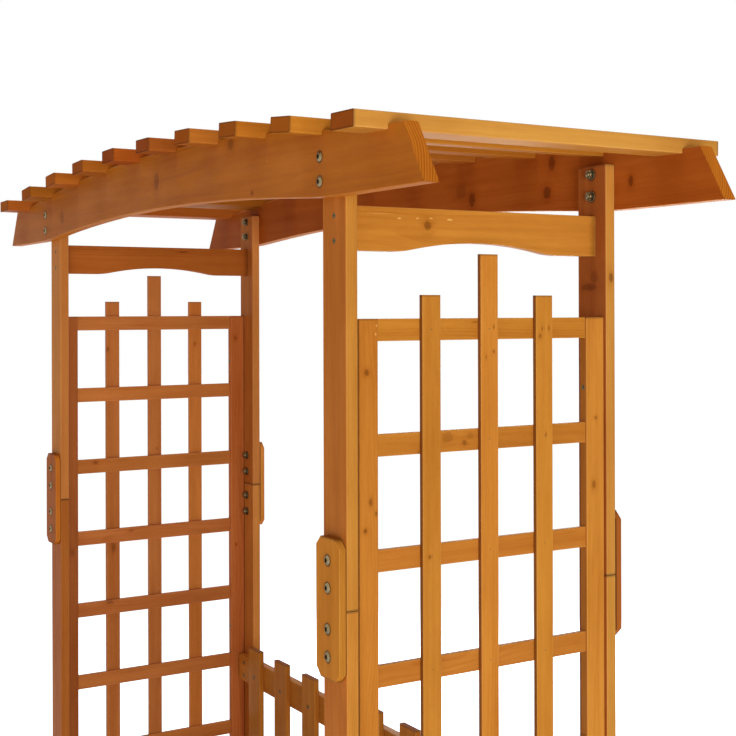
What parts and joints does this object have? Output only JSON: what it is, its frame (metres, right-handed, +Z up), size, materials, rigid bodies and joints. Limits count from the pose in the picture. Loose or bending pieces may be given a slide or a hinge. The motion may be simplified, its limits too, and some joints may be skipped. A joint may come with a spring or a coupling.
{
  "type": "arbour seat",
  "caption": "Free-standing garden arbour seat with an arched slatted roof on bolted two-piece posts, lattice side panels and a slatted bench with a backrest.",
  "frame": {"origin": "on the ground, under the middle of the roof", "axes": "+X along the bench to the sitter's left, +Y from the open front to the backrest, +Z up"},
  "size_m": [1.832, 0.638, 1.9708],
  "materials": {
    "stained_frame": "satin honey-brown wood stain over planed softwood",
    "stained_slats": "satin honey-brown wood stain over planed softwood",
    "stained_laths": "satin honey-brown wood stain over planed softwood",
    "zinc_plated_bolts": "yellowish zinc plating",
    "zinc_plated_screws": "yellowish zinc plating"
  },
  "bodies": {
    "root": {"back_left_post_lower": "stained_frame", "back_left_post_upper": "stained_frame", "back_left_splice_plate": "stained_frame", "back_lower_rail": "stained_frame", "back_right_post_lower": "stained_frame", "back_right_post_upper": "stained_frame", "back_right_splice_plate": "stained_frame", "back_roof_beam": "stained_frame", "back_seat_rail": "stained_frame", "back_slats": "stained_slats", "back_top_rail": "stained_frame", "backrest_screws": "zinc_plated_screws", "beam_bolts": "zinc_plated_bolts", "front_left_post_lower": "stained_frame", "front_left_post_upper": "stained_frame", "front_left_splice_plate": "stained_frame", "front_right_post_lower": "stained_frame", "front_right_post_upper": "stained_frame", "front_right_splice_plate": "stained_frame", "front_roof_beam": "stained_frame", "front_seat_rail": "stained_frame", "front_seat_slat": "stained_slats", "hex_nuts": "zinc_plated_bolts", "lattice_brads": "zinc_plated_screws", "left_crossrail": "stained_frame", "left_lattice_rails": "stained_laths", "left_lattice_stile_back": "stained_frame", "left_lattice_stile_front": "stained_frame", "left_lattice_upright_back": "stained_laths", "left_lattice_upright_front": "stained_laths", "left_lattice_upright_middle": "stained_laths", "left_seat_rail": "stained_frame", "middle_seat_bearer": "stained_frame", "panel_screws": "zinc_plated_screws", "rail_screws": "zinc_plated_screws", "right_crossrail": "stained_frame", "right_lattice_rails": "stained_laths", "right_lattice_stile_back": "stained_frame", "right_lattice_stile_front": "stained_frame", "right_lattice_upright_back": "stained_laths", "right_lattice_upright_front": "stained_laths", "right_lattice_upright_middle": "stained_laths", "right_seat_rail": "stained_frame", "roof_slat_01": "stained_slats", "roof_slat_02": "stained_slats", "roof_slat_03": "stained_slats", "roof_slat_04": "stained_slats", "roof_slat_05": "stained_slats", "roof_slat_06": "stained_slats", "roof_slat_07": "stained_slats", "roof_slat_08": "stained_slats", "roof_slat_09": "stained_slats", "roof_slat_10": "stained_slats", "roof_slat_screws": "zinc_plated_screws", "seat_rail_bolts": "zinc_plated_bolts", "seat_slat_screws": "zinc_plated_screws", "seat_slats": "stained_slats", "splice_bolts": "zinc_plated_bolts", "washers": "zinc_plated_bolts"}
  },
  "joints": []
}
